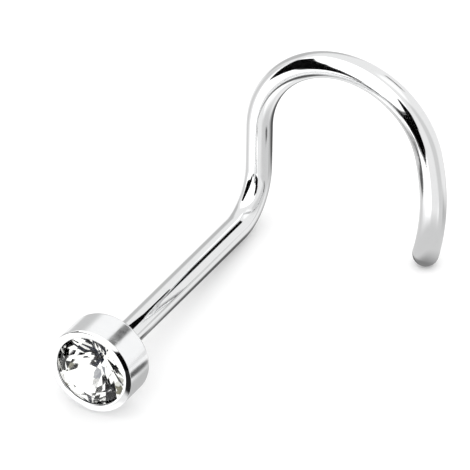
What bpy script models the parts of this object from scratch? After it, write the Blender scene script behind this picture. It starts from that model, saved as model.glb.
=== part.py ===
"""A nose stud: a round bezel cup with a brilliant-cut stone, soldered to a bent wire.

The stud is shaped on a bench frame first: the post runs along +Z from the
back of the cup, the cup faces -Z, and the wire's leg leaves the corner along
+X. The stud is then turned into the lie in which it comes to rest on a table.
"""

import math

import bmesh
import bpy
from mathutils import Matrix, Vector

MM = 0.001

# Wire, 20 gauge
WIRE_RADIUS = 0.40 * MM
POST_LENGTH = 9.15 * MM
CORNER_RADIUS = 1.46 * MM
LEG_LENGTH = 2.885 * MM
HOOK_RADIUS = 2.865 * MM
HOOK_ANGLE = math.radians(167)
TAIL_RADIUS = 7.4 * MM
TAIL_LENGTH = 3.40 * MM

# Stone, a round brilliant
GIRDLE_RADIUS = 1.17 * MM
GIRDLE_THICKNESS = 0.04 * MM
TABLE_RADIUS = 0.66 * MM
CROWN_HEIGHT = 0.30 * MM
PAVILION_DEPTH = 0.83 * MM
CULET_RADIUS = 0.06 * MM
STAR_SHARE = 0.47  # of the way from the table's edge to the girdle
LOWER_HALF_SHARE = 0.75  # of the way from the girdle to the culet
FACET_FOLD = 8

# Bezel cup, turned round the stone
SETTING_CLEARANCE = 0.02 * MM
CULET_CLEARANCE = 0.03 * MM
WALL_THICKNESS = 0.155 * MM
FLOOR_THICKNESS = 0.17 * MM
SEAT_DEPTH = 0.15 * MM
BACK_EDGE_ROUNDING = 0.10 * MM
SHOULDER_DROP = 0.01 * MM
SHOULDER_ROUNDING = 0.09 * MM
SHOULDER_LEDGE = 0.015 * MM
LIP_COVER = 0.065 * MM
LIP_THICKNESS = 0.05 * MM
LIP_CREST = 0.022 * MM

# Heights above the cup's flat back, and radii, that follow from these
GIRDLE_HEIGHT = FLOOR_THICKNESS + CULET_CLEARANCE + PAVILION_DEPTH
GIRDLE_TOP = GIRDLE_HEIGHT + GIRDLE_THICKNESS
BORE_RADIUS = GIRDLE_RADIUS + SETTING_CLEARANCE
CUP_RADIUS = BORE_RADIUS + WALL_THICKNESS
KITE_SLOPE = CROWN_HEIGHT / (GIRDLE_RADIUS - TABLE_RADIUS)
MAIN_SLOPE = PAVILION_DEPTH / (GIRDLE_RADIUS - CULET_RADIUS)

# Fineness of the meshes
WIRE_SIDES = 24
CUP_SIDES = 72
DEGREES_PER_BEND_STEP = 5
ARC_STEPS = 4
TIP_STEPS = 5
SHARP_EDGE = math.radians(35)
FLAT_FACET = math.radians(0.5)
WELD_DISTANCE = 0.0002 * MM

STEEL_DENSITY = 7900.0
CRYSTAL_DENSITY = 2600.0
STEEL = ("polished_steel", (0.80, 0.81, 0.82, 1.0), 0.06, 1.0)
CRYSTAL = ("clear_crystal", (0.95, 0.96, 0.97, 1.0), 0.02, 0.0)


def clear_scene():
    for thing in list(bpy.data.objects):
        bpy.data.objects.remove(thing, do_unlink=True)


def make_material(name, colour, roughness, metallic):
    material = bpy.data.materials.new(name)
    material.use_nodes = True
    shader = material.node_tree.nodes["Principled BSDF"]
    shader.inputs["Base Color"].default_value = colour
    shader.inputs["Roughness"].default_value = roughness
    shader.inputs["Metallic"].default_value = metallic
    return material


def make_object(name, bm, material=None):
    mesh = bpy.data.meshes.new(name)
    bmesh.ops.recalc_face_normals(bm, faces=bm.faces)
    bm.to_mesh(mesh)
    bm.free()
    if material:
        mesh.materials.append(material)
    made = bpy.data.objects.new(name, mesh)
    bpy.context.scene.collection.objects.link(made)
    return made


def rounded_corner(centre, radius, start_degrees, end_degrees):
    """Points of a quarter round in the plane of a turned profile."""
    points = []
    for step in range(ARC_STEPS + 1):
        angle = math.radians(start_degrees + (end_degrees - start_degrees) * step / ARC_STEPS)
        points.append((centre[0] + radius * math.cos(angle), centre[1] + radius * math.sin(angle)))
    return points


def cup_profile():
    """The cup's half section as (radius, height), from its back's centre round to the pocket's floor."""
    mouth = GIRDLE_RADIUS - LIP_COVER
    under_lip = GIRDLE_TOP + SETTING_CLEARANCE
    mouth_height = under_lip + LIP_COVER * KITE_SLOPE
    lip_top = mouth_height + LIP_THICKNESS + LIP_CREST
    shoulder = GIRDLE_TOP - SHOULDER_DROP
    lip_radius = CUP_RADIUS - SHOULDER_ROUNDING - SHOULDER_LEDGE
    half_lip = (lip_radius - mouth) / 2
    seat_top = GIRDLE_HEIGHT - SETTING_CLEARANCE
    seat_radius = BORE_RADIUS - SEAT_DEPTH / MAIN_SLOPE

    back_rounding = (CUP_RADIUS - BACK_EDGE_ROUNDING, BACK_EDGE_ROUNDING)
    shoulder_rounding = (CUP_RADIUS - SHOULDER_ROUNDING, shoulder - SHOULDER_ROUNDING)
    outline = [(0.0, 0.0)]
    outline += rounded_corner(back_rounding, BACK_EDGE_ROUNDING, -90, 0)
    outline += rounded_corner(shoulder_rounding, SHOULDER_ROUNDING, 0, 90)
    for radius, height in rounded_corner((mouth + half_lip, 0.0), half_lip, 0, 90):
        outline.append((radius, shoulder + (lip_top - shoulder) * height / half_lip))
    outline.append((mouth, mouth_height + LIP_THICKNESS))
    outline.append((mouth, mouth_height))
    outline.append((BORE_RADIUS, under_lip))
    outline.append((BORE_RADIUS, seat_top))
    outline.append((seat_radius, seat_top - SEAT_DEPTH))
    outline.append((seat_radius, FLOOR_THICKNESS))
    outline.append((0.0, FLOOR_THICKNESS))
    return outline


def make_cup():
    """A turned cup: its half section spun about the post's axis."""
    bm = bmesh.new()
    corners = [bm.verts.new((radius, 0.0, -height)) for radius, height in cup_profile()]
    edges = [bm.edges.new(pair) for pair in zip(corners, corners[1:])]
    bmesh.ops.spin(
        bm,
        geom=corners + edges,
        cent=(0.0, 0.0, 0.0),
        axis=(0.0, 0.0, 1.0),
        angle=math.tau,
        steps=CUP_SIDES,
        use_merge=True,
    )
    bmesh.ops.remove_doubles(bm, verts=bm.verts, dist=WELD_DISTANCE)
    return bm


def of_kind(made, kind):
    return [part for part in made if isinstance(part, kind)]


def pull_wire(bm, ring, along):
    """Draws the open end of the wire straight on, and returns the new end."""
    made = bmesh.ops.extrude_edge_only(bm, edges=ring)["geom"]
    bmesh.ops.translate(bm, verts=of_kind(made, bmesh.types.BMVert), vec=along)
    return [
        edge
        for edge in of_kind(made, bmesh.types.BMEdge)
        if len(edge.link_faces) == 1
    ]


def bend_wire(bm, ring, centre, axis, angle):
    """Bends the open end of the wire about an axis, and returns the new end."""
    steps = max(2, math.ceil(math.degrees(angle) / DEGREES_PER_BEND_STEP))
    made = bmesh.ops.spin(
        bm,
        geom=ring + list({vert for edge in ring for vert in edge.verts}),
        cent=centre,
        axis=axis,
        angle=angle,
        steps=steps,
    )["geom_last"]
    return of_kind(made, bmesh.types.BMEdge)


def ring_centre(ring):
    verts = {vert for edge in ring for vert in edge.verts}
    return sum((vert.co for vert in verts), Vector()) / len(verts)


def round_tip(bm, ring, heading):
    """Closes the wire with a half ball, as its end is filed and polished."""
    centre = ring_centre(ring)
    for step in range(1, TIP_STEPS):
        before = math.radians(90 * (step - 1) / TIP_STEPS)
        now = math.radians(90 * step / TIP_STEPS)
        ring = pull_wire(bm, ring, heading * WIRE_RADIUS * (math.sin(now) - math.sin(before)))
        verts = list({vert for edge in ring for vert in edge.verts})
        middle = ring_centre(ring)
        shrink = math.cos(now) / math.cos(before)
        bmesh.ops.scale(bm, vec=(shrink, shrink, shrink), verts=verts, space=Matrix.Translation(-middle))
    pole = bm.verts.new(centre + heading * WIRE_RADIUS)
    for edge in ring:
        bm.faces.new((edge.verts[0], edge.verts[1], pole))


def make_wire():
    """The post, the corner, the leg, the round hook and the flatter tail, bent one after another."""
    bm = bmesh.new()
    solder_depth = FLOOR_THICKNESS / 2
    bmesh.ops.create_circle(
        bm,
        cap_ends=True,
        segments=WIRE_SIDES,
        radius=WIRE_RADIUS,
        matrix=Matrix.Translation((0.0, 0.0, -solder_depth)),
    )
    ring = list(bm.edges)
    ring = pull_wire(bm, ring, Vector((0.0, 0.0, solder_depth + POST_LENGTH - CORNER_RADIUS)))

    corner_centre = Vector((CORNER_RADIUS, 0.0, POST_LENGTH - CORNER_RADIUS))
    ring = bend_wire(bm, ring, corner_centre, (0.0, 1.0, 0.0), math.pi / 2)
    ring = pull_wire(bm, ring, Vector((LEG_LENGTH - CORNER_RADIUS, 0.0, 0.0)))

    hook_centre = Vector((LEG_LENGTH, HOOK_RADIUS, POST_LENGTH))
    ring = bend_wire(bm, ring, hook_centre, (0.0, 0.0, 1.0), HOOK_ANGLE)

    outward = Vector((math.sin(HOOK_ANGLE), -math.cos(HOOK_ANGLE), 0.0))
    tail_centre = hook_centre + outward * (HOOK_RADIUS - TAIL_RADIUS)
    tail_angle = TAIL_LENGTH / TAIL_RADIUS
    ring = bend_wire(bm, ring, tail_centre, (0.0, 0.0, 1.0), tail_angle)

    turned = HOOK_ANGLE + tail_angle
    round_tip(bm, ring, Vector((math.cos(turned), math.sin(turned), 0.0)))
    return bm


def make_stud_metal(material):
    """Cup and wire soldered into one solid."""
    metal = make_object("stud_metal", make_cup(), material)
    wire = make_object("wire_to_solder", make_wire())
    wire.hide_render = True
    wire.display_type = "WIRE"
    solder = metal.modifiers.new("solder", "BOOLEAN")
    solder.operation = "UNION"
    solder.solver = "EXACT"
    solder.object = wire

    bpy.context.view_layer.update()
    graph = bpy.context.evaluated_depsgraph_get()
    joined = bpy.data.meshes.new_from_object(metal.evaluated_get(graph))
    metal.modifiers.clear()
    metal.data = joined
    joined.shade_smooth()
    joined.set_sharp_from_angle(angle=SHARP_EDGE)
    bpy.data.objects.remove(wire, do_unlink=True)
    return metal


def facet_ring(radius, height, count, turn):
    """Corners of the stone spaced evenly round its axis, with the stone facing -Z."""
    corners = []
    for index in range(count):
        angle = math.tau * (index + turn) / count
        corners.append(Vector((radius * math.cos(angle), radius * math.sin(angle), -height)))
    return corners


def make_stone(material):
    """A round brilliant: table, stars, kites and halves above the girdle, mains and halves below it."""
    half_fold = math.cos(math.pi / FACET_FOLD)
    star_radius = TABLE_RADIUS + STAR_SHARE * (GIRDLE_RADIUS - TABLE_RADIUS)
    star_height = GIRDLE_TOP + KITE_SLOPE * (GIRDLE_RADIUS - star_radius * half_fold)
    join_radius = GIRDLE_RADIUS - LOWER_HALF_SHARE * (GIRDLE_RADIUS - CULET_RADIUS)
    join_height = GIRDLE_HEIGHT - MAIN_SLOPE * (GIRDLE_RADIUS - join_radius * half_fold)

    corners = facet_ring(TABLE_RADIUS, GIRDLE_TOP + CROWN_HEIGHT, FACET_FOLD, 0.0)
    corners += facet_ring(star_radius, star_height, FACET_FOLD, 0.5)
    corners += facet_ring(GIRDLE_RADIUS, GIRDLE_TOP, 2 * FACET_FOLD, 0.0)
    corners += facet_ring(GIRDLE_RADIUS, GIRDLE_HEIGHT, 2 * FACET_FOLD, 0.0)
    corners += facet_ring(join_radius, join_height, FACET_FOLD, 0.5)
    corners += facet_ring(CULET_RADIUS, GIRDLE_HEIGHT - PAVILION_DEPTH, FACET_FOLD, 0.0)

    bm = bmesh.new()
    for corner in corners:
        bm.verts.new(corner)
    bmesh.ops.convex_hull(bm, input=bm.verts)
    bmesh.ops.dissolve_limit(bm, angle_limit=FLAT_FACET, verts=bm.verts, edges=bm.edges)
    return make_object("stone", bm, material)


def moment_and_weight(thing, density):
    """The weight of a closed mesh, and that weight times its centre."""
    moment = Vector()
    weight = 0.0
    mesh = thing.data
    mesh.calc_loop_triangles()
    for triangle in mesh.loop_triangles:
        a, b, c = (mesh.vertices[index].co for index in triangle.vertices)
        share = density * a.dot(b.cross(c)) / 6
        moment += share * (a + b + c) / 4
        weight += share
    return moment, weight


def steadiness(face, centre_of_mass):
    """How far inside this side of the hull the centre of mass stands when the stud lies on it."""
    foot = centre_of_mass + face.normal * (face.verts[0].co - centre_of_mass).dot(face.normal)
    inside = []
    for loop in face.loops:
        start = loop.vert.co
        inward = face.normal.cross(loop.link_loop_next.vert.co - start)
        if inward.length > 0:
            inside.append((foot - start).dot(inward.normalized()))
    return min(inside)


def resting_down(metal, stone):
    """The direction that points down when the stud lies by itself, on the steadiest side of its hull."""
    metal_moment, metal_weight = moment_and_weight(metal, STEEL_DENSITY)
    stone_moment, stone_weight = moment_and_weight(stone, CRYSTAL_DENSITY)
    centre_of_mass = (metal_moment + stone_moment) / (metal_weight + stone_weight)
    hull = bmesh.new()
    for thing in (metal, stone):
        for vert in thing.data.vertices:
            hull.verts.new(vert.co)
    made = bmesh.ops.convex_hull(hull, input=hull.verts, use_existing_faces=False)["geom"]
    sides = of_kind(made, bmesh.types.BMFace)
    bmesh.ops.recalc_face_normals(hull, faces=sides)
    steadiest = max(sides, key=lambda side: steadiness(side, centre_of_mass))
    down = steadiest.normal.copy()
    hull.free()
    return down


def lay_on_table(metal, stone):
    """Turns the stud into its own lie on a table, with the cup facing -Y."""
    up = -resting_down(metal, stone)
    along_post = Vector((0.0, 0.0, 1.0))
    forward = (along_post - along_post.project(up)).normalized()
    right = forward.cross(up)
    turn = Matrix((right, forward, up)).to_4x4()

    lie = bpy.data.objects.new("stud_lie", None)
    bpy.context.scene.collection.objects.link(lie)
    placed = [turn @ vert.co for thing in (metal, stone) for vert in thing.data.vertices]
    low = Vector([min(point[axis] for point in placed) for axis in range(3)])
    high = Vector([max(point[axis] for point in placed) for axis in range(3)])
    middle = (low + high) / 2
    lie.location = (-middle.x, -middle.y, -low.z)
    lie.rotation_euler = turn.to_euler()
    for thing in (metal, stone):
        thing.parent = lie


def main():
    clear_scene()
    metal = make_stud_metal(make_material(*STEEL))
    stone = make_stone(make_material(*CRYSTAL))
    lay_on_table(metal, stone)


main()
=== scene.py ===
# %% [markdown]
# # A nose stud in polished steel with a clear stone
#
# This lesson rebuilds one small piece of jewellery: a nose stud of the screw
# kind. A thin steel wire is bent into a post, a corner and a round hook, and a
# turned cup that holds a brilliant-cut stone is soldered to its other end.
#
# The solids of the part are loaded first and stay where they are. Everything
# below is made in the same frame, in metres.

# %% Load the solids
import math

import bmesh
import bpy
from mathutils import Matrix, Vector


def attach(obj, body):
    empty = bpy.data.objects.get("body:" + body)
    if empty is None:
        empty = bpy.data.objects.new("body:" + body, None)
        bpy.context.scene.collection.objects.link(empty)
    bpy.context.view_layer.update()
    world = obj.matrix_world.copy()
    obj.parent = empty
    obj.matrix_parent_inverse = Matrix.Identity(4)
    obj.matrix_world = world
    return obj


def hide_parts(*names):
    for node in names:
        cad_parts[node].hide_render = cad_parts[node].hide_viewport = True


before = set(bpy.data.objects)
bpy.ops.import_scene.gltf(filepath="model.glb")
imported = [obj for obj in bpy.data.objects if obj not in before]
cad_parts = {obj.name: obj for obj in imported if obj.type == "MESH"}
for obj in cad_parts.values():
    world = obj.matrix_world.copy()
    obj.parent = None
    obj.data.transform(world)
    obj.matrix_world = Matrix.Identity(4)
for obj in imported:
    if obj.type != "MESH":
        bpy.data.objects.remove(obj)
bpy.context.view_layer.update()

# %% [markdown]
# ## The bench frame
#
# A goldsmith doesn't shape a stud the way it lies on the table. The wire is
# drawn out straight first, and the cup is turned round the same line, so all
# the work happens on a bench frame: the post runs along +Z, the stone looks
# along -Z, and the leg beyond the corner runs along +X. One matrix carries the
# finished work to the place where the stud lies. It is built from the direction
# that points up from the table and from the middle of the cup's flat back.

# %% The bench frame
MM = 0.001
MICRON = 0.001 * MM
UP_ON_BENCH = Vector((0.992908494, 0.000945618, -0.118877500)).normalized()
POST_ON_BENCH = Vector((0.0, 0.0, 1.0))
CUP_BACK = Vector((-2.4497, -4.3636, 1.3236)) * MM

forward = (POST_ON_BENCH - POST_ON_BENCH.project(UP_ON_BENCH)).normalized()
right = forward.cross(UP_ON_BENCH)
lie = Matrix.Translation(CUP_BACK) @ Matrix((right, forward, UP_ON_BENCH)).to_4x4()
print("the post points along", [round(part, 3) for part in lie.to_3x3() @ POST_ON_BENCH])

# %% [markdown]
# ## From bench work to a finished piece
#
# The stud has two pieces, the metal and the stone. Each is worked as a bmesh and
# becomes an object only once, at the end. Its place goes into its mesh, so the
# object itself stays at the origin, unturned and unscaled, and a pattern that
# reads Object coordinates can't slide.


# %% Helpers for finished pieces
def of_kind(made, kind):
    """The corners, edges or faces among what a bmesh operator made."""
    return [part for part in made if isinstance(part, kind)]


def new_object(name, bm, materials):
    """Turns bench work into an object of the scene."""
    mesh = bpy.data.meshes.new(name)
    bm.to_mesh(mesh)
    bm.free()
    for material in materials:
        mesh.materials.append(material)
    made = bpy.data.objects.new(name, mesh)
    bpy.context.scene.collection.objects.link(made)
    return made


def finish_piece(name, bm, smooth, materials):
    """Carries bench work to its place on the table and makes it a piece of the part."""
    bmesh.ops.transform(bm, matrix=lie, verts=bm.verts)
    piece = new_object(name, bm, materials)
    for polygon in piece.data.polygons:
        polygon.use_smooth = smooth
    piece.data.calc_loop_triangles()
    print(name, "has", len(piece.data.loop_triangles), "triangles")
    return piece


# %% [markdown]
# ## The cup's section
#
# The cup is a bezel: a low turned cup with a flat back, a straight side wall
# and a lip that is pressed over the edge of the stone. On a lathe it would be
# cut from a bar. Here its half section is drawn with a few corners, each as
# radius and height above the flat back. A vertex bevel rounds each corner, the
# same way that a polishing wheel takes the sharpness off an edge. The first two
# corners belong to the post, so that the solder seam gets its small hollow too.
#
# Two corners on the side wall have no rounding. They are there for the light:
# they keep the wall's shading straight between its two rounded edges, as a
# support loop does in a subdivided model.

# %% Measures of the cup
POST_RADIUS = 0.40 * MM
POST_STUB = 0.30 * MM
CUP_RADIUS = 1.345 * MM
LIP_EDGE = 1.145 * MM
LIP_RADIUS = 1.255 * MM
LIP_TOP = 1.19 * MM
MOUTH_RADIUS = 1.105 * MM
MOUTH_HEIGHT = 1.128 * MM
UNDER_LIP = 1.09 * MM
BORE_RADIUS = 1.19 * MM
SEAT_TOP = 1.01 * MM
SEAT_FOOT = 0.86 * MM
SEAT_RADIUS = 0.9894 * MM
POCKET_FLOOR = 0.17 * MM

SOLDER_HOLLOW = 0.035 * MM
BACK_ROUNDING = 0.10 * MM
EDGE_ROUNDING = 0.012 * MM
LIP_ROUNDING = 0.02 * MM
MOUTH_ROUNDING = 0.03 * MM
WALL_STARTS = 0.13 * MM
WALL_ENDS = LIP_EDGE - 0.03 * MM
ROUNDING_SEGMENTS = 8

CUP_SECTION = (
    # radius, height, rounding
    (POST_RADIUS, -POST_STUB, 0.0),
    (POST_RADIUS, 0.0, SOLDER_HOLLOW),
    (CUP_RADIUS, 0.0, BACK_ROUNDING),
    (CUP_RADIUS, WALL_STARTS, 0.0),
    (CUP_RADIUS, WALL_ENDS, 0.0),
    (CUP_RADIUS, LIP_EDGE, EDGE_ROUNDING),
    (LIP_RADIUS, LIP_TOP, LIP_ROUNDING),
    (MOUTH_RADIUS, LIP_TOP, MOUTH_ROUNDING),
    (MOUTH_RADIUS, MOUTH_HEIGHT, 0.0),
    (BORE_RADIUS, UNDER_LIP, 0.0),
    (BORE_RADIUS, SEAT_TOP, 0.0),
    (SEAT_RADIUS, SEAT_FOOT, 0.0),
    (SEAT_RADIUS, POCKET_FLOOR, 0.0),
    (0.0, POCKET_FLOOR, 0.0),
)
print("corners in the cup's section:", len(CUP_SECTION))


# %% Draw the section
def draw_section(bm, section):
    """Draws the half section as a line of edges and rounds its corners."""
    corners = [bm.verts.new((radius, 0.0, -height)) for radius, height, _ in section]
    for pair in zip(corners, corners[1:]):
        bm.edges.new(pair)
    for corner, (_, _, rounding) in zip(corners, section):
        if rounding:
            bmesh.ops.bevel(
                bm,
                geom=[corner],
                offset=rounding,
                offset_type="OFFSET",
                segments=ROUNDING_SEGMENTS,
                profile=0.5,
                affect="VERTICES",
                material=-1,
            )


metal_bm = bmesh.new()
draw_section(metal_bm, CUP_SECTION)
print("points in the rounded section:", len(metal_bm.verts))

# %% [markdown]
# ## Turning the cup
#
# Cup and wire are soldered on the real stud, so they are one piece here. The
# section is spun once round the post's line, which is what a lathe does. A full
# spin leaves the first and the last section on top of each other, so doubles
# are merged. One ring stays open, where the post starts.

# %% Turn the cup
SIDES = 96
WELD = 0.0001 * MM

bmesh.ops.spin(
    metal_bm,
    geom=list(metal_bm.verts) + list(metal_bm.edges),
    cent=(0.0, 0.0, 0.0),
    axis=(0.0, 0.0, 1.0),
    angle=math.tau,
    steps=SIDES,
    use_merge=True,
)
bmesh.ops.remove_doubles(metal_bm, verts=metal_bm.verts, dist=WELD)
print("cup turned with", len(metal_bm.faces), "faces")

# %% [markdown]
# ## Pressing the lip
#
# A setter pushes the lip over the stone by hand, so its face is never quite in
# the middle of the cup. On this stud it sits a little to one side, and the bevel
# round it is wide on the other side, where it shows as a dark crescent. Moving
# the finished rings sideways, more the higher they are, gives just that: the
# wall stays round and only the lip leans.

# %% Press the lip to one side
PRESSED_BY = 0.075 * MM
PRESSED_TOWARDS = math.radians(-63.6)
PRESSED_FROM_RADIUS = LIP_RADIUS - 0.06 * MM

press = Vector((math.cos(PRESSED_TOWARDS), math.sin(PRESSED_TOWARDS), 0.0)) * PRESSED_BY
pressed = 0
for corner in metal_bm.verts:
    height = -corner.co.z
    if height > LIP_EDGE and corner.co.to_2d().length > PRESSED_FROM_RADIUS:
        corner.co += press * (height - LIP_EDGE) / (LIP_TOP - LIP_EDGE)
        pressed += 1
print("corners pressed to one side:", pressed)

# %% [markdown]
# ## Which finish goes where
#
# The wire and the lip are polished to a mirror. The cup's side wall has a softer
# polish, so what it mirrors is blurred, and its colour is a painted highlight,
# lighter than the wire's. The narrow seam between lip and stone is coloured dark,
# a painted shade where the lip shades the gap, and that thin line is what makes a
# stone look set and not glued on. Separate meshes would break the closed skin, so
# the faces only get the number of their finish. They are told apart by how far out
# and how high their middles are.

# %% Mark the side wall and the seam
# Faces of the side wall get satin steel whose lighter colour is a painted highlight.
WALL_SATIN_AND_PAINTED_HIGHLIGHT = 1
# Faces of the seam get a dark colour that is painted shade in the gap under the lip.
SEAM_PAINTED_SHADE = 2
WALL_REACH = 0.004 * MM

for face in metal_bm.faces:
    middle = face.calc_center_median()
    out, height = middle.to_2d().length, -middle.z
    if out > CUP_RADIUS - WALL_REACH and height < LIP_EDGE - EDGE_ROUNDING:
        face.material_index = WALL_SATIN_AND_PAINTED_HIGHLIGHT
    elif SEAT_RADIUS < out < BORE_RADIUS and SEAT_FOOT < height < LIP_TOP - LIP_ROUNDING:
        face.material_index = SEAM_PAINTED_SHADE
for name, finish in (("side wall", WALL_SATIN_AND_PAINTED_HIGHLIGHT), ("seam", SEAM_PAINTED_SHADE)):
    print("faces of the", name + ":", sum(face.material_index == finish for face in metal_bm.faces))

# %% [markdown]
# ## Pulling the wire out of the cup
#
# The open ring where the post starts is pulled straight on, and bent by spinning
# it about the centre of each bend, exactly as the wire is wound round a mandrel.
# A curve with a bevel would give the same tube, but it would be a second piece
# that only touches the cup. Worked this way, cup and wire are one closed skin.
# The tip is filed to a half ball, ring by ring.


# %% Ways to work the open end of the wire
def corners_of(edges):
    """The corners of some edges, each once and in a fixed order."""
    return list(dict.fromkeys(corner for edge in edges for corner in edge.verts))


def pull_wire(bm, ring, along):
    """Draws the open end straight on and returns the new end."""
    made = bmesh.ops.extrude_edge_only(bm, edges=ring)["geom"]
    bmesh.ops.translate(bm, verts=of_kind(made, bmesh.types.BMVert), vec=along)
    return [edge for edge in of_kind(made, bmesh.types.BMEdge) if edge.is_boundary]


def bend_wire(bm, ring, centre, axis, angle, degrees_per_step):
    """Bends the open end about an axis and returns the new end."""
    made = bmesh.ops.spin(
        bm,
        geom=ring + corners_of(ring),
        cent=centre,
        axis=axis,
        angle=angle,
        steps=math.ceil(math.degrees(angle) / degrees_per_step),
    )
    return of_kind(made["geom_last"], bmesh.types.BMEdge)


def round_tip(bm, ring, heading, radius, steps):
    """Files the open end to a half ball and closes it at the pole."""
    for step in range(1, steps):
        before = math.radians(90 * (step - 1) / steps)
        now = math.radians(90 * step / steps)
        ring = pull_wire(bm, ring, heading * radius * (math.sin(now) - math.sin(before)))
        corners = corners_of(ring)
        middle = sum((corner.co for corner in corners), Vector()) / len(corners)
        shrink = math.cos(now) / math.cos(before)
        bmesh.ops.scale(
            bm, vec=(shrink,) * 3, verts=corners, space=Matrix.Translation(-middle)
        )
    left = radius * (1.0 - math.sin(math.radians(90 * (steps - 1) / steps)))
    ring = pull_wire(bm, ring, heading * left)
    bmesh.ops.collapse(bm, edges=ring, uvs=False)


# %% Post, corner and leg
POST_LENGTH = 9.15 * MM
CORNER_RADIUS = 1.46 * MM
CORNER_ANGLE = math.pi / 2
LEG_LENGTH = 2.885 * MM
DEGREES_PER_STEP = 2.5

ring = [edge for edge in metal_bm.edges if edge.is_boundary]
ring = pull_wire(metal_bm, ring, Vector((0.0, 0.0, POST_LENGTH - CORNER_RADIUS - POST_STUB)))

corner_centre = Vector((CORNER_RADIUS, 0.0, POST_LENGTH - CORNER_RADIUS))
ring = bend_wire(
    metal_bm, ring, corner_centre, (0.0, 1.0, 0.0), CORNER_ANGLE, DEGREES_PER_STEP
)
ring = pull_wire(metal_bm, ring, Vector((LEG_LENGTH - CORNER_RADIUS, 0.0, 0.0)))
print("sides of the wire:", len(ring))

# %% Hook, tail and tip
HOOK_RADIUS = 2.865 * MM
HOOK_ANGLE = math.radians(167)
TAIL_RADIUS = 7.4 * MM
TAIL_LENGTH = 3.40 * MM
TAIL_DEGREES_PER_STEP = 1.5
TIP_STEPS = 16
ACROSS_HOOK = (0.0, 0.0, 1.0)

hook_centre = Vector((LEG_LENGTH, HOOK_RADIUS, POST_LENGTH))
ring = bend_wire(metal_bm, ring, hook_centre, ACROSS_HOOK, HOOK_ANGLE, DEGREES_PER_STEP)

outward = Vector((math.sin(HOOK_ANGLE), -math.cos(HOOK_ANGLE), 0.0))
tail_centre = hook_centre + outward * (HOOK_RADIUS - TAIL_RADIUS)
tail_angle = TAIL_LENGTH / TAIL_RADIUS
ring = bend_wire(metal_bm, ring, tail_centre, ACROSS_HOOK, tail_angle, TAIL_DEGREES_PER_STEP)

turned = HOOK_ANGLE + tail_angle
heading = Vector((math.cos(turned), math.sin(turned), 0.0))
round_tip(metal_bm, ring, heading, POST_RADIUS, TIP_STEPS)

bmesh.ops.recalc_face_normals(metal_bm, faces=metal_bm.faces)
print("open edges left:", sum(not edge.is_manifold for edge in metal_bm.edges))

# %% [markdown]
# ## Cutting the stone
#
# The stone is a round brilliant. A cutter starts from a round blank on a stick
# and grinds one flat after another: the table, the kites, the stars and the
# halves above the girdle, then the mains and halves below it. The same is done
# here: every facet is one plane that cuts the blank, takes off what is outside
# and closes the cut. Planes through three known points keep the facets meeting
# in clean corners.

# %% Measures of the stone
GIRDLE_RADIUS = 1.17 * MM
GIRDLE_FOOT = 1.03 * MM
GIRDLE_TOP = 1.07 * MM
TABLE_RADIUS = 0.66 * MM
CROWN_HEIGHT = 0.30 * MM
PAVILION_DEPTH = 0.83 * MM
CULET_RADIUS = 0.06 * MM
STAR_SHARE = 0.47
LOWER_HALF_SHARE = 0.75
FOLD = 8
BLANK_SIDES = 96
FACET_WELD = 0.00005 * MM
SAME_FLAT = math.radians(0.3)

HALF_FOLD = math.cos(math.pi / FOLD)
CROWN_SLOPE = CROWN_HEIGHT / (GIRDLE_RADIUS - TABLE_RADIUS)
MAIN_SLOPE = PAVILION_DEPTH / (GIRDLE_RADIUS - CULET_RADIUS)
STAR_RADIUS = TABLE_RADIUS + STAR_SHARE * (GIRDLE_RADIUS - TABLE_RADIUS)
STAR_HEIGHT = GIRDLE_TOP + CROWN_SLOPE * (GIRDLE_RADIUS - STAR_RADIUS * HALF_FOLD)
JOIN_RADIUS = GIRDLE_RADIUS - LOWER_HALF_SHARE * (GIRDLE_RADIUS - CULET_RADIUS)
JOIN_HEIGHT = GIRDLE_FOOT - MAIN_SLOPE * (GIRDLE_RADIUS - JOIN_RADIUS * HALF_FOLD)
TABLE_HEIGHT = GIRDLE_TOP + CROWN_HEIGHT
CULET_HEIGHT = GIRDLE_FOOT - PAVILION_DEPTH
print("stone in mm:", round(2 * GIRDLE_RADIUS / MM, 2), "across,",
      round((TABLE_HEIGHT - CULET_HEIGHT) / MM, 2), "deep")


# %% Ways to place and grind a facet
def on_stone(radius, height, turn):
    """A point of the stone, turn in eighths of a turn."""
    angle = math.tau * turn / FOLD
    return Vector((radius * math.cos(angle), radius * math.sin(angle), -height))


def grind(bm, first, second, third, inside):
    """Cuts one facet through three points and closes the cut."""
    normal = (second - first).cross(third - first).normalized()
    if normal.dot(inside - first) > 0:
        normal.negate()
    cut = bmesh.ops.bisect_plane(
        bm,
        geom=list(bm.verts) + list(bm.edges) + list(bm.faces),
        dist=FACET_WELD,
        plane_co=first,
        plane_no=normal,
        clear_outer=True,
    )
    rim = [edge for edge in of_kind(cut["geom_cut"], bmesh.types.BMEdge) if edge.is_boundary]
    if len(rim) > 2:
        bmesh.ops.edgeloop_fill(bm, edges=rim)


# %% The blank, its table and its culet
stone_bm = bmesh.new()
bmesh.ops.create_cone(
    stone_bm,
    cap_ends=True,
    segments=BLANK_SIDES,
    radius1=GIRDLE_RADIUS,
    radius2=GIRDLE_RADIUS,
    depth=CULET_HEIGHT + TABLE_HEIGHT,
    matrix=Matrix.Translation((0.0, 0.0, -(CULET_HEIGHT + TABLE_HEIGHT) / 2)),
)
heart = on_stone(0.0, GIRDLE_FOOT, 0)
for height in (TABLE_HEIGHT, CULET_HEIGHT):
    grind(stone_bm, *[on_stone(GIRDLE_RADIUS, height, turn) for turn in (0, 2, 4)], heart)
print("faces of the blank:", len(stone_bm.faces))

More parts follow.
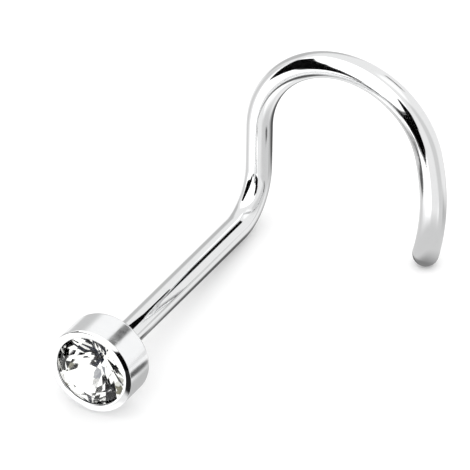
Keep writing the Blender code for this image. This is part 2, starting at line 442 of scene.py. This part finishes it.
# %% Crown: kites, stars and upper halves
for turn in range(FOLD):
    tip = on_stone(GIRDLE_RADIUS, GIRDLE_TOP, turn)
    star = on_stone(STAR_RADIUS, STAR_HEIGHT, turn + 0.5)
    last_star = on_stone(STAR_RADIUS, STAR_HEIGHT, turn - 0.5)
    between = on_stone(GIRDLE_RADIUS, GIRDLE_TOP, turn + 0.5)
    last_between = on_stone(GIRDLE_RADIUS, GIRDLE_TOP, turn - 0.5)
    corner = on_stone(TABLE_RADIUS, TABLE_HEIGHT, turn)
    next_corner = on_stone(TABLE_RADIUS, TABLE_HEIGHT, turn + 1)
    grind(stone_bm, tip, last_star, star, heart)
    grind(stone_bm, corner, next_corner, star, heart)
    grind(stone_bm, tip, star, between, heart)
    grind(stone_bm, tip, last_star, last_between, heart)
print("faces with the crown cut:", len(stone_bm.faces))

# %% Pavilion: mains and lower halves
for turn in range(FOLD):
    foot = on_stone(CULET_RADIUS, CULET_HEIGHT, turn)
    join = on_stone(JOIN_RADIUS, JOIN_HEIGHT, turn + 0.5)
    last_join = on_stone(JOIN_RADIUS, JOIN_HEIGHT, turn - 0.5)
    tip = on_stone(GIRDLE_RADIUS, GIRDLE_FOOT, turn)
    between = on_stone(GIRDLE_RADIUS, GIRDLE_FOOT, turn + 0.5)
    last_between = on_stone(GIRDLE_RADIUS, GIRDLE_FOOT, turn - 0.5)
    grind(stone_bm, foot, last_join, join, heart)
    grind(stone_bm, tip, join, between, heart)
    grind(stone_bm, tip, last_join, last_between, heart)
bmesh.ops.remove_doubles(stone_bm, verts=stone_bm.verts, dist=FACET_WELD)
bmesh.ops.dissolve_limit(
    stone_bm, angle_limit=SAME_FLAT, verts=stone_bm.verts, edges=stone_bm.edges
)
bmesh.ops.recalc_face_normals(stone_bm, faces=stone_bm.faces)
open_edges = sum(not edge.is_manifold for edge in stone_bm.edges)
print("stone cut with", len(stone_bm.faces), "faces,", open_edges, "open edges")

# %% [markdown]
# ## Polish marks
#
# No polish is perfect. Under a lens, steel that looks like a mirror has soft
# clouds, where the wheel pressed more or less, and a few hair lines from wiping
# it dry. The stone has the same, only fainter. Both come from noise, so they are
# made once, as a node group that takes the place on the piece and gives back two
# masks: the clouds, and the lines, which are noise stretched along two
# directions and cut off so that only its highest ridges stay.


# %% A math node in one line
def math_node(tree, operation, first, second):
    """A math node of a node tree, each side a socket or a number."""
    node = tree.nodes.new("ShaderNodeMath")
    node.operation = operation
    for slot, value in zip(node.inputs, (first, second)):
        if isinstance(value, (int, float)):
            slot.default_value = value
        else:
            tree.links.new(value, slot)
    return node.outputs["Value"]


# %% The node group for polish marks
CLOUDS_PER_METRE = 2500.0
LINES_PER_METRE = 9000.0
CLOUD_DETAIL = 4.0
CLOUD_CONTRAST = 0.6
LINE_DETAIL = 2.0
LINE_STARTS = 0.60
LINE_IS_FULL = 0.72
WIPES = (
    # turn of the wiping, stretch of the noise
    ((0.3, 0.2, 0.5), (0.08, 1.0, 1.0)),
    ((1.1, -0.4, -0.7), (1.0, 0.08, 1.0)),
)


def new_socket(tree, name, way, kind, start=None):
    """A named input or output of a node group, with the value that it starts from."""
    socket = tree.interface.new_socket(name, in_out=way, socket_type="NodeSocket" + kind)
    if start is not None:
        socket.default_value = start


marks = bpy.data.node_groups.new("polish_marks", "ShaderNodeTree")
new_socket(marks, "Place", "INPUT", "Vector")
new_socket(marks, "Clouds per metre", "INPUT", "Float", CLOUDS_PER_METRE)
new_socket(marks, "Lines per metre", "INPUT", "Float", LINES_PER_METRE)
new_socket(marks, "Clouds", "OUTPUT", "Float")
new_socket(marks, "Lines", "OUTPUT", "Float")
given = marks.nodes.new("NodeGroupInput")
result = marks.nodes.new("NodeGroupOutput")

clouds = marks.nodes.new("ShaderNodeTexNoise")
clouds.inputs["Detail"].default_value = CLOUD_DETAIL
clouds.inputs["Roughness"].default_value = CLOUD_CONTRAST
marks.links.new(given.outputs["Place"], clouds.inputs["Vector"])
marks.links.new(given.outputs["Clouds per metre"], clouds.inputs["Scale"])
marks.links.new(clouds.outputs["Fac"], result.inputs["Clouds"])

lines = 0.0
for turn, stretch in WIPES:
    wipe = marks.nodes.new("ShaderNodeMapping")
    wipe.inputs["Rotation"].default_value = turn
    wipe.inputs["Scale"].default_value = stretch
    marks.links.new(given.outputs["Place"], wipe.inputs["Vector"])
    grain = marks.nodes.new("ShaderNodeTexNoise")
    grain.inputs["Detail"].default_value = LINE_DETAIL
    marks.links.new(wipe.outputs["Vector"], grain.inputs["Vector"])
    marks.links.new(given.outputs["Lines per metre"], grain.inputs["Scale"])
    thin = marks.nodes.new("ShaderNodeMapRange")
    thin.interpolation_type = "SMOOTHSTEP"
    thin.inputs["From Min"].default_value = LINE_STARTS
    thin.inputs["From Max"].default_value = LINE_IS_FULL
    marks.links.new(grain.outputs["Fac"], thin.inputs["Value"])
    lines = math_node(marks, "MAXIMUM", lines, thin.outputs["Result"])
marks.links.new(lines, result.inputs["Lines"])
print("nodes in the group for polish marks:", len(marks.nodes))

# %% [markdown]
# ## A polished finish
#
# Every finish of the stud is built the same way. The clouds mix two shades that
# are close to each other and move the roughness between two values. The lines
# add a little roughness, and on metal they are also cut a third of a micron
# deep. What is the same all over, such as being metal or the refractive index,
# is set on the shader's own socket, because the export reads it there.

# %% A polished material
CLOUD_LOW = 0.3
CLOUD_HIGH = 0.7
LINE_STRENGTH = 0.4
LINE_DEPTH = 0.3 * MICRON


def new_material(name):
    """A new material and its shader."""
    material = bpy.data.materials.new(name)
    material.use_nodes = True
    return material, material.node_tree.nodes["Principled BSDF"]


def polish(name, light, dark, smoothest, roughest, line_roughness,
           line_depth=LINE_DEPTH, clouds=CLOUDS_PER_METRE, lines=LINES_PER_METRE):
    """Clouds vary the colour and the roughness, fine lines the roughness and the surface."""
    material, shader = new_material(name)
    tree = material.node_tree
    place = tree.nodes.new("ShaderNodeTexCoord")
    group = tree.nodes.new("ShaderNodeGroup")
    group.node_tree = marks
    tree.links.new(place.outputs["Object"], group.inputs["Place"])
    group.inputs["Clouds per metre"].default_value = clouds
    group.inputs["Lines per metre"].default_value = lines

    colour = tree.nodes.new("ShaderNodeMix")
    colour.data_type = "RGBA"
    colour.inputs["A"].default_value = (*light, 1.0)
    colour.inputs["B"].default_value = (*dark, 1.0)
    tree.links.new(group.outputs["Clouds"], colour.inputs["Factor"])
    tree.links.new(colour.outputs["Result"], shader.inputs["Base Color"])

    rough = tree.nodes.new("ShaderNodeMapRange")
    rough.inputs["From Min"].default_value = CLOUD_LOW
    rough.inputs["From Max"].default_value = CLOUD_HIGH
    rough.inputs["To Min"].default_value = smoothest
    rough.inputs["To Max"].default_value = roughest
    tree.links.new(group.outputs["Clouds"], rough.inputs["Value"])
    extra = math_node(tree, "MULTIPLY", group.outputs["Lines"], line_roughness)
    total = math_node(tree, "ADD", rough.outputs["Result"], extra)
    tree.links.new(total, shader.inputs["Roughness"])

    if line_depth:
        bump = tree.nodes.new("ShaderNodeBump")
        bump.invert = True
        bump.inputs["Strength"].default_value = LINE_STRENGTH
        bump.inputs["Distance"].default_value = line_depth
        tree.links.new(group.outputs["Lines"], bump.inputs["Height"])
        tree.links.new(bump.outputs["Normal"], shader.inputs["Normal"])
    print(name, "is between", smoothest, "and", roughest, "rough")
    return material, shader


# %% [markdown]
# ## Steel on three places
#
# Metal gets its whole look from what it mirrors, so its colour stays a bright,
# nearly neutral grey and mostly the roughness tells the places apart: a mirror
# on the wire, softer on the side wall, and matt in the seam, whose dark colour is
# painted shade. The wall is painted the brightest and faintly blue, a painted
# highlight that makes it look nearly white between its two soft grey bands.

# %% Steel, satin and the seam
SHARP_ANGLE = math.radians(40)
SEAM_CLOUDS_PER_METRE = 9000.0

steel, shader = polish(
    "polished_steel", (0.87, 0.872, 0.875), (0.83, 0.835, 0.84), 0.05, 0.08, 0.03
)
shader.inputs["Metallic"].default_value = 1.0
# Painted highlight: the wall's steel is coloured lighter and faintly bluer than the wire's, so it
# reads nearly white.
satin, shader = polish(
    "satin_steel_painted_highlight", (0.99, 0.993, 0.996), (0.955, 0.965, 0.975), 0.14, 0.20, 0.05
)
shader.inputs["Metallic"].default_value = 1.0
# Painted shade: the seam is coloured dark where the lip shades the gap.
seam, shader = polish(
    "seam_painted_shade", (0.16, 0.16, 0.17), (0.07, 0.07, 0.08), 0.45, 0.6, 0.05,
    clouds=SEAM_CLOUDS_PER_METRE,
)
shader.inputs["Metallic"].default_value = 1.0
metal = finish_piece("cup_and_wire", metal_bm, True, [steel, satin, seam])
metal.data.set_sharp_from_angle(angle=SHARP_ANGLE)

# %% [markdown]
# ## Crystal with a silvered back
#
# A stone in a closed cup gets no light from below. Jewellers put silver foil
# under it, or buy stones whose back facets are silvered, so that light comes
# back through the table. Here the faces below the girdle get the silver and the
# rest is clear glass. The refractive index is set lower than a real crystal's:
# with full strength the light goes round inside for too long and the table
# turns grey, while the real one looks white with dark flecks round it.

# %% Crystal and silver
SILVERED = 1
CLEAR_INDEX = 1.3
STONE_CLOUDS_PER_METRE = 1500.0
STONE_LINES_PER_METRE = 6000.0

stone_marks = {
    "line_depth": 0.0, "clouds": STONE_CLOUDS_PER_METRE, "lines": STONE_LINES_PER_METRE
}
crystal, shader = polish(
    "clear_crystal", (1.0, 1.0, 1.0), (0.985, 0.99, 1.0), 0.0, 0.01, 0.01, **stone_marks
)
shader.inputs["Transmission Weight"].default_value = 1.0
shader.inputs["IOR"].default_value = CLEAR_INDEX
foil, shader = polish(
    "silver_foil", (0.97, 0.97, 0.96), (0.90, 0.90, 0.89), 0.02, 0.08, 0.02, **stone_marks
)
shader.inputs["Metallic"].default_value = 1.0
for face in stone_bm.faces:
    if face.calc_center_median().z > -GIRDLE_FOOT:
        face.material_index = SILVERED
stone = finish_piece("cut_stone", stone_bm, False, [crystal, foil])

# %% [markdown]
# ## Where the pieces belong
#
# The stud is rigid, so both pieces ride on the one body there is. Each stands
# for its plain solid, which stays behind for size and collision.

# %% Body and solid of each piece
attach(metal, "root")
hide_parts("stud_metal")
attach(stone, "root")
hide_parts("stone")
print("pieces:", metal.name, "and", stone.name)

# %% [markdown]
# ## The table
#
# The stud lies on a plain white board, which only has to catch its soft shadow.
# The metal doesn't mirror the board itself: what it sees from below comes from
# the studio, so that the dark and light bands can be placed one by one.

# %% Floor
FLOOR_SIZE = 400 * MM
BOARD_WHITE = 0.95
BOARD_ROUGHNESS = 0.9

white, shader = new_material("white_board")
shader.inputs["Base Color"].default_value = (BOARD_WHITE, BOARD_WHITE, BOARD_WHITE, 1.0)
shader.inputs["Roughness"].default_value = BOARD_ROUGHNESS
shader.inputs["Specular IOR Level"].default_value = 0.0

floor_bm = bmesh.new()
bmesh.ops.create_grid(floor_bm, x_segments=1, y_segments=1, size=FLOOR_SIZE / 2)
floor = new_object("table", floor_bm, [white])
floor.visible_glossy = False
floor.visible_transmission = False
print("table in mm:", round(FLOOR_SIZE / MM))

# %% [markdown]
# ## Studio cards
#
# Polished metal shows the studio and hardly anything else. A photographer puts
# white boards round such a piece and hangs black cards, called flags, between
# them: every dark streak on the wire is one flag. Lamps and planes could do
# this, but a card that is far away is only a direction, so it is painted into
# the world shader. A card is the part of the sky on the inner side of up to six
# edges, and each edge is one plane through the middle of the scene, so a dot
# product and a soft step are enough. That is built once, as a node group.


# %% Directions in the studio
def towards(azimuth, elevation):
    """A direction, with azimuth 0 in front of the stone and 90 to its right."""
    turn = math.radians(azimuth)
    lift = math.radians(elevation)
    return Vector((
        math.sin(turn) * math.cos(lift), -math.cos(turn) * math.cos(lift), math.sin(lift)
    ))


# %% The node group for one card
EDGES = ("Edge 1", "Edge 2", "Edge 3", "Edge 4", "Edge 5", "Edge 6")
SHARP_CARD = 0.02
PLAIN_CARD = 0.03
SOFT_CARD = 0.06
FAR_CARD = 0.1
FOGGY_CARD = 0.12
FADING_CARD = 0.15

card = bpy.data.node_groups.new("studio_card", "ShaderNodeTree")
new_socket(card, "Direction", "INPUT", "Vector")
for name in EDGES:
    new_socket(card, name, "INPUT", "Vector")
new_socket(card, "Softness", "INPUT", "Float", PLAIN_CARD)
new_socket(card, "Mask", "OUTPUT", "Float")
given = card.nodes.new("NodeGroupInput")
result = card.nodes.new("NodeGroupOutput")
outer = math_node(card, "MULTIPLY", given.outputs["Softness"], -1.0)
mask = 1.0
for name in EDGES:
    dot = card.nodes.new("ShaderNodeVectorMath")
    dot.operation = "DOT_PRODUCT"
    card.links.new(given.outputs["Direction"], dot.inputs[0])
    card.links.new(given.outputs[name], dot.inputs[1])
    ramp = card.nodes.new("ShaderNodeMapRange")
    ramp.interpolation_type = "SMOOTHSTEP"
    card.links.new(dot.outputs["Value"], ramp.inputs["Value"])
    card.links.new(outer, ramp.inputs["From Min"])
    card.links.new(given.outputs["Softness"], ramp.inputs["From Max"])
    mask = math_node(card, "MULTIPLY", mask, ramp.outputs["Result"])
card.links.new(mask, result.inputs["Mask"])
print("nodes in the group for one card:", len(card.nodes))

# %% Hang a card in the studio
world = bpy.data.worlds.new("studio")
bpy.context.scene.world = world
world.use_nodes = True
air = world.node_tree
air.nodes.clear()
seen = air.nodes.new("ShaderNodeTexCoord")


def plain_grey(brightness):
    return (brightness, brightness, brightness)


def plain_light(colour):
    """The same light from everywhere."""
    node = air.nodes.new("ShaderNodeRGB")
    node.outputs[0].default_value = (*colour, 1.0)
    return node.outputs[0]


def blend_light(first, second, share):
    """First light where the share is nothing, the second one where it is full."""
    mix = air.nodes.new("ShaderNodeMix")
    mix.data_type = "RGBA"
    for name, value in (("A", first), ("B", second)):
        if isinstance(value, tuple):
            mix.inputs[name].default_value = (*value, 1.0)
        else:
            air.links.new(value, mix.inputs[name])
    air.links.new(share, mix.inputs["Factor"])
    return mix.outputs["Result"]


def hang_card(corners, colour, below, soft):
    """Paints one card over the light below it, corners in order round the card."""
    points = [towards(*corner) for corner in corners]
    middle = sum(points, Vector()).normalized()
    sides = []
    for start, end in zip(points, points[1:] + points[:1]):
        normal = start.cross(end).normalized()
        sides.append(normal if normal.dot(middle) > 0 else -normal)
    while len(sides) < len(EDGES):
        sides.append(sides[-1])
    node = air.nodes.new("ShaderNodeGroup")
    node.node_tree = card
    air.links.new(seen.outputs["Generated"], node.inputs["Direction"])
    for name, side in zip(EDGES, sides):
        node.inputs[name].default_value = side
    node.inputs["Softness"].default_value = soft
    return blend_light(below, colour, node.outputs["Mask"])


# %% [markdown]
# ## What the metal mirrors
#
# A large white light in front and above gives the wire its white side, and a
# low board fills it from below. The grey walls and the edge of the table give
# the pale greys on the outlines, without which white metal would vanish on a
# white ground. The black flags come last, because they hang in front of the
# rest: a strip behind for the post, and four in front for the streaks on the
# top and on the inside of the hook.

# %% Cards for the metal
METAL_BASE = 0.95
METAL_CARDS = (
    # what it is, corners as (azimuth, elevation), brightness, softness
    ("white light in front and above",
     ((-110, 44), (-100, 75), (40, 80), (55, 45), (12, -26), (-60, -24)), 1.6, SOFT_CARD),
    ("low white board in front",
     ((-60, -20), (75, -22), (80, -60), (-20, -78), (-75, -55)), 1.3, SOFT_CARD),
    ("grey wall behind on the left",
     ((-160, -18), (-160, 14), (-110, 22), (-104, -12)), 0.56, FOGGY_CARD),
    ("dark edge of the table behind",
     ((108, -26), (165, -36), (-152, -30), (-148, -52), (165, -62), (114, -50)), 0.5, FAR_CARD),
    ("white board behind on the right",
     ((96, 38), (150, 42), (160, 52), (150, 74), (96, 74)), 1.2, FAR_CARD),
    ("pale grey wall on the right",
     ((74, -50), (70, 0), (80, 44), (104, 44), (112, 0), (106, -50)), 0.72, FADING_CARD),
    ("pale grey wall on the left",
     ((-78, -50), (-76, -10), (-86, 12), (-104, 10), (-108, -50)), 0.72, FADING_CARD),
    ("black strip above the post",
     ((154.5, 23.5), (172, 30), (171, 38), (153.5, 33)), 0.0, SHARP_CARD),
    ("black flag far left",
     ((-92, 25), (-82, 41), (-58, 36), (-40, 28), (-36, -3), (-63, -5)), 0.0, SHARP_CARD),
    ("black flag left",
     ((-44, 27), (-36, 26), (-22, 4), (-19, -12), (-24, -20), (-38, -3)), 0.0, SHARP_CARD),
    ("black flag right",
     ((-19, -21.5), (-17, -14), (16, 15), (40, 24), (25, -7), (6, -18.5)), 0.0, SHARP_CARD),
    ("black flag far right",
     ((14, 10), (31, 40), (39, 42), (45, 28), (36, 10)), 0.0, SHARP_CARD),
)
metal_light = plain_light(plain_grey(METAL_BASE))
for what, corners, brightness, soft in METAL_CARDS:
    metal_light = hang_card(corners, plain_grey(brightness), metal_light, soft)
    print("hung:", what)

# %% [markdown]
# ## What the stone gathers
#
# A cut stone works like a hundred small mirrors, each of which picks one spot of
# the studio. It gets a light of its own: bright nearly everywhere, with a few
# cards in navy, khaki and grey. They break up into the dark and faintly coloured
# flecks round the white table.

# %% Cards for the stone
STONE_BASE = (1.5, 1.5, 1.48)
NAVY = (0.012, 0.015, 0.028)
KHAKI = (0.26, 0.25, 0.19)
GREY = (0.36, 0.37, 0.40)
STONE_CARDS = (
    # corners as (azimuth, elevation), colour
    (((2, -30), (38, -30), (34, -1), (6, -1)), NAVY),
    (((20, 22), (40, 38), (50, 24), (30, 8)), NAVY),
    (((-44, 30), (-34, 46), (-14, 50), (-22, 28)), KHAKI),
    (((-52, 48), (-36, 48), (-28, 60), (-50, 60)), GREY),
    (((-16, -62), (8, -62), (8, -42), (-16, -42)), NAVY),
)
stone_light = plain_light(STONE_BASE)
for corners, colour in STONE_CARDS:
    stone_light = hang_card(corners, colour, stone_light, PLAIN_CARD)
print("cards for the stone:", len(STONE_CARDS))

# %% [markdown]
# ## One sky for each kind of ray
#
# The world can give different light to different rays. Mirror rays get the
# studio cards, rays that leave the stone get its own light, and all others,
# among them what the camera sees and what lights the board, get a plain soft
# white.

# %% Put the studio together
PLAIN_WHITE = 1.3

path = air.nodes.new("ShaderNodeLightPath")
all_light = plain_light(plain_grey(PLAIN_WHITE))
all_light = blend_light(all_light, metal_light, path.outputs["Is Glossy Ray"])
all_light = blend_light(all_light, stone_light, path.outputs["Is Transmission Ray"])
background = air.nodes.new("ShaderNodeBackground")
air.links.new(all_light, background.inputs["Color"])
sky = air.nodes.new("ShaderNodeOutputWorld")
air.links.new(background.outputs["Background"], sky.inputs["Surface"])
print("nodes in the studio:", len(air.nodes))

# %% [markdown]
# ## Soft cards close to the stud
#
# A far card shows on every part of the wire that faces it. To darken the tail
# but not the leg, a card has to be close, where each part of the stud sees it
# from another side. So small round cards lie just under the board's face. Those
# before and at the tail and under the post are painted shadow, the board dark
# where the stud shades it; the others are dark cards. One hangs beside the cup
# instead. Their rims fade out, and only mirror rays see them: the camera, the
# board and the stone don't.


# %% Ways to make a close card
def bare_material(name):
    """A material whose nodes are all still to come."""
    material = bpy.data.materials.new(name)
    material.use_nodes = True
    material.node_tree.nodes.clear()
    return material, material.node_tree


def soft_card_material(name, brightness, plain_part):
    """A card with a plain middle and a rim that fades, so its reflection has no hard edge."""
    material, tree = bare_material(name)
    place = tree.nodes.new("ShaderNodeTexCoord")
    reach = tree.nodes.new("ShaderNodeVectorMath")
    reach.operation = "LENGTH"
    tree.links.new(place.outputs["Object"], reach.inputs[0])
    fade = tree.nodes.new("ShaderNodeMapRange")
    fade.interpolation_type = "SMOOTHSTEP"
    fade.inputs["From Min"].default_value = 1.0
    fade.inputs["From Max"].default_value = plain_part
    tree.links.new(reach.outputs["Value"], fade.inputs["Value"])
    paint = tree.nodes.new("ShaderNodeEmission")
    paint.inputs["Color"].default_value = (*plain_grey(brightness), 1.0)
    clear = tree.nodes.new("ShaderNodeBsdfTransparent")
    mix = tree.nodes.new("ShaderNodeMixShader")
    tree.links.new(fade.outputs["Result"], mix.inputs["Fac"])
    tree.links.new(clear.outputs["BSDF"], mix.inputs[1])
    tree.links.new(paint.outputs["Emission"], mix.inputs[2])
    end = tree.nodes.new("ShaderNodeOutputMaterial")
    tree.links.new(mix.outputs["Shader"], end.inputs["Surface"])
    return material


def only_in_mirrors(laid):
    """Only mirror rays see this card: the camera, the table and the stone don't."""
    laid.visible_camera = False
    laid.visible_diffuse = False
    laid.visible_shadow = False
    laid.visible_transmission = False


def lay_card(name, middle, width, depth, brightness, plain_part):
    """A soft round card that lies level."""
    card_bm = bmesh.new()
    bmesh.ops.create_grid(card_bm, x_segments=1, y_segments=1, size=1.0)
    laid = new_object(name, card_bm, [soft_card_material(name, brightness, plain_part)])
    laid.location = Vector(middle) * MM
    laid.scale = (width / 2 * MM, depth / 2 * MM, 1.0)
    only_in_mirrors(laid)


# %% Lay the cards
CLOSE_CARDS = (
    # name, middle, width and depth in mm, brightness, plain part of its radius
    # Painted shadow: the cards before and at the tail and under the post stand for the board shaded
    # by the stud.
    ("painted_shadow_before_tail", (3.3, 3.6, -0.05), 8.8, 8.8, 0.70, 0.5),
    ("painted_shadow_at_tail", (3.2, 4.3, -0.03), 2.6, 2.8, 0.25, 0.2),
    ("card_inside_hook", (2.7, 4.85, -0.02), 1.1, 1.2, 0.08, 0.45),
    ("card_by_cup", (0.35, -3.6, 0.6), 1.9, 1.9, 0.10, 0.5),
    ("card_before_cup", (-0.1, -9.3, -0.02), 3.7, 6.8, 0.02, 0.8),
    ("painted_shadow_under_post", (-1.9, 1.5, -0.5), 1.3, 9.0, 0.1, 0.45),
    ("card_behind_cup", (-1.3, -2.5, -0.02), 1.4, 2.6, 0.05, 0.3),
    ("card_behind_leg", (-0.6, 9.5, -0.5), 7.0, 5.5, 0.1, 0.45),
)
for row in CLOSE_CARDS:
    lay_card(*row)
print("close cards:", len(CLOSE_CARDS))

# %% [markdown]
# ## A black wedge over the post
#
# The post has one dark line that starts wide at the cup and narrows to a hair.
# A card of that shape does it: a long wedge that hangs over the post, widest at
# the cup. It is a flat strip between three rungs.

# %% The wedge
WEDGE_HEIGHT = 2.2
WEDGE_RUNGS = (
    # along the post, left end, right end, in mm
    (-3.5, -2.96, -1.25),
    (-1.5, -2.27, -1.90),
    (0.3, -2.20, -1.95),
)
black, black_tree = bare_material("black_card")
paint = black_tree.nodes.new("ShaderNodeEmission")
paint.inputs["Strength"].default_value = 0.0
end = black_tree.nodes.new("ShaderNodeOutputMaterial")
black_tree.links.new(paint.outputs["Emission"], end.inputs["Surface"])

wedge_bm = bmesh.new()
rungs = []
for along, left, right_end in WEDGE_RUNGS:
    ends = [Vector((across, along, WEDGE_HEIGHT)) * MM for across in (left, right_end)]
    rungs.append([wedge_bm.verts.new(end_point) for end_point in ends])
for near, far in zip(rungs, rungs[1:]):
    wedge_bm.faces.new((near[0], near[1], far[1], far[0]))
wedge = new_object("wedge_over_post", wedge_bm, [black])
only_in_mirrors(wedge)
print("faces of the wedge:", len(wedge.data.polygons))

# %% [markdown]
# ## The camera
#
# The stone and the hook are both round, so the ellipses that they make in the
# picture tell how the stud is turned towards the camera. From them come the two
# directions that run to the right and up in the picture. The wire is as thick
# near the camera as far from it, so the lens is a very long one, from far away.
# The wire's known thickness gives the scale in pixels per millimetre.

# %% Camera
CAMERA_RIGHT = Vector((0.8797, 0.47369, -0.04164)).normalized()
CAMERA_UP = Vector((-0.26592, 0.56251, 0.78288)).normalized()
CAMERA_BACK = CAMERA_RIGHT.cross(CAMERA_UP).normalized()
PIXELS_PER_MM = 33.9
FRAME = 470
ORIGIN_ACROSS = 255.93
ORIGIN_DOWN = 325.38
LENS = 800.0
SENSOR = 36.0
NEAREST_SEEN = 10 * MM
FARTHEST_SEEN = 2.0

across = (FRAME / 2 - ORIGIN_ACROSS) / PIXELS_PER_MM * MM
upward = (ORIGIN_DOWN - FRAME / 2) / PIXELS_PER_MM * MM
aim = CAMERA_RIGHT * across + CAMERA_UP * upward
distance = FRAME / PIXELS_PER_MM * MM * LENS / SENSOR

camera = bpy.data.objects.new("camera", bpy.data.cameras.new("camera"))
bpy.context.scene.collection.objects.link(camera)
camera.data.lens = LENS
camera.data.sensor_width = SENSOR
camera.data.clip_start = NEAREST_SEEN
camera.data.clip_end = FARTHEST_SEEN
turn = Matrix((CAMERA_RIGHT, CAMERA_BACK.cross(CAMERA_RIGHT), CAMERA_BACK)).transposed()
camera.matrix_world = Matrix.Translation(aim + CAMERA_BACK * distance) @ turn.to_4x4()
bpy.context.scene.camera = camera
bpy.context.scene.view_settings.view_transform = "Standard"
bpy.context.scene.view_settings.look = "None"
print("camera in mm from the stud:", round(distance / MM))
